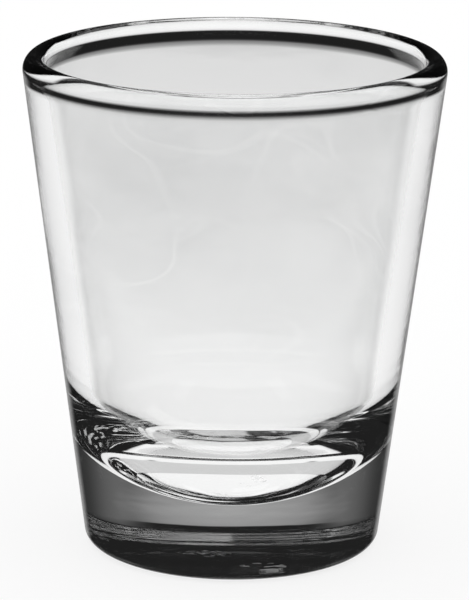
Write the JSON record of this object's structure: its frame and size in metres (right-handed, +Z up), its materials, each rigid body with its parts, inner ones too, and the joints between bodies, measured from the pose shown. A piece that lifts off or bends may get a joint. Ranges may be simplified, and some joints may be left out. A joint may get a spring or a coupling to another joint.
{
  "type": "shot glass",
  "caption": "Clear tapered shot glass with a thick solid base, a round-bottomed bowl and a fire-polished rim, for serving a small measure of spirits.",
  "frame": {"origin": "centre of the foot, in the plane of the surface that the glass stands on", "axes": "+Z up along the glass's axis, towards the open rim; the glass is round, so X and Y are free"},
  "size_m": [0.0506, 0.0506, 0.0603],
  "materials": {
    "clear_glass": "clear fire-polished soda-lime glass"
  },
  "bodies": {
    "root": {"glass_body": "clear_glass"}
  },
  "joints": []
}
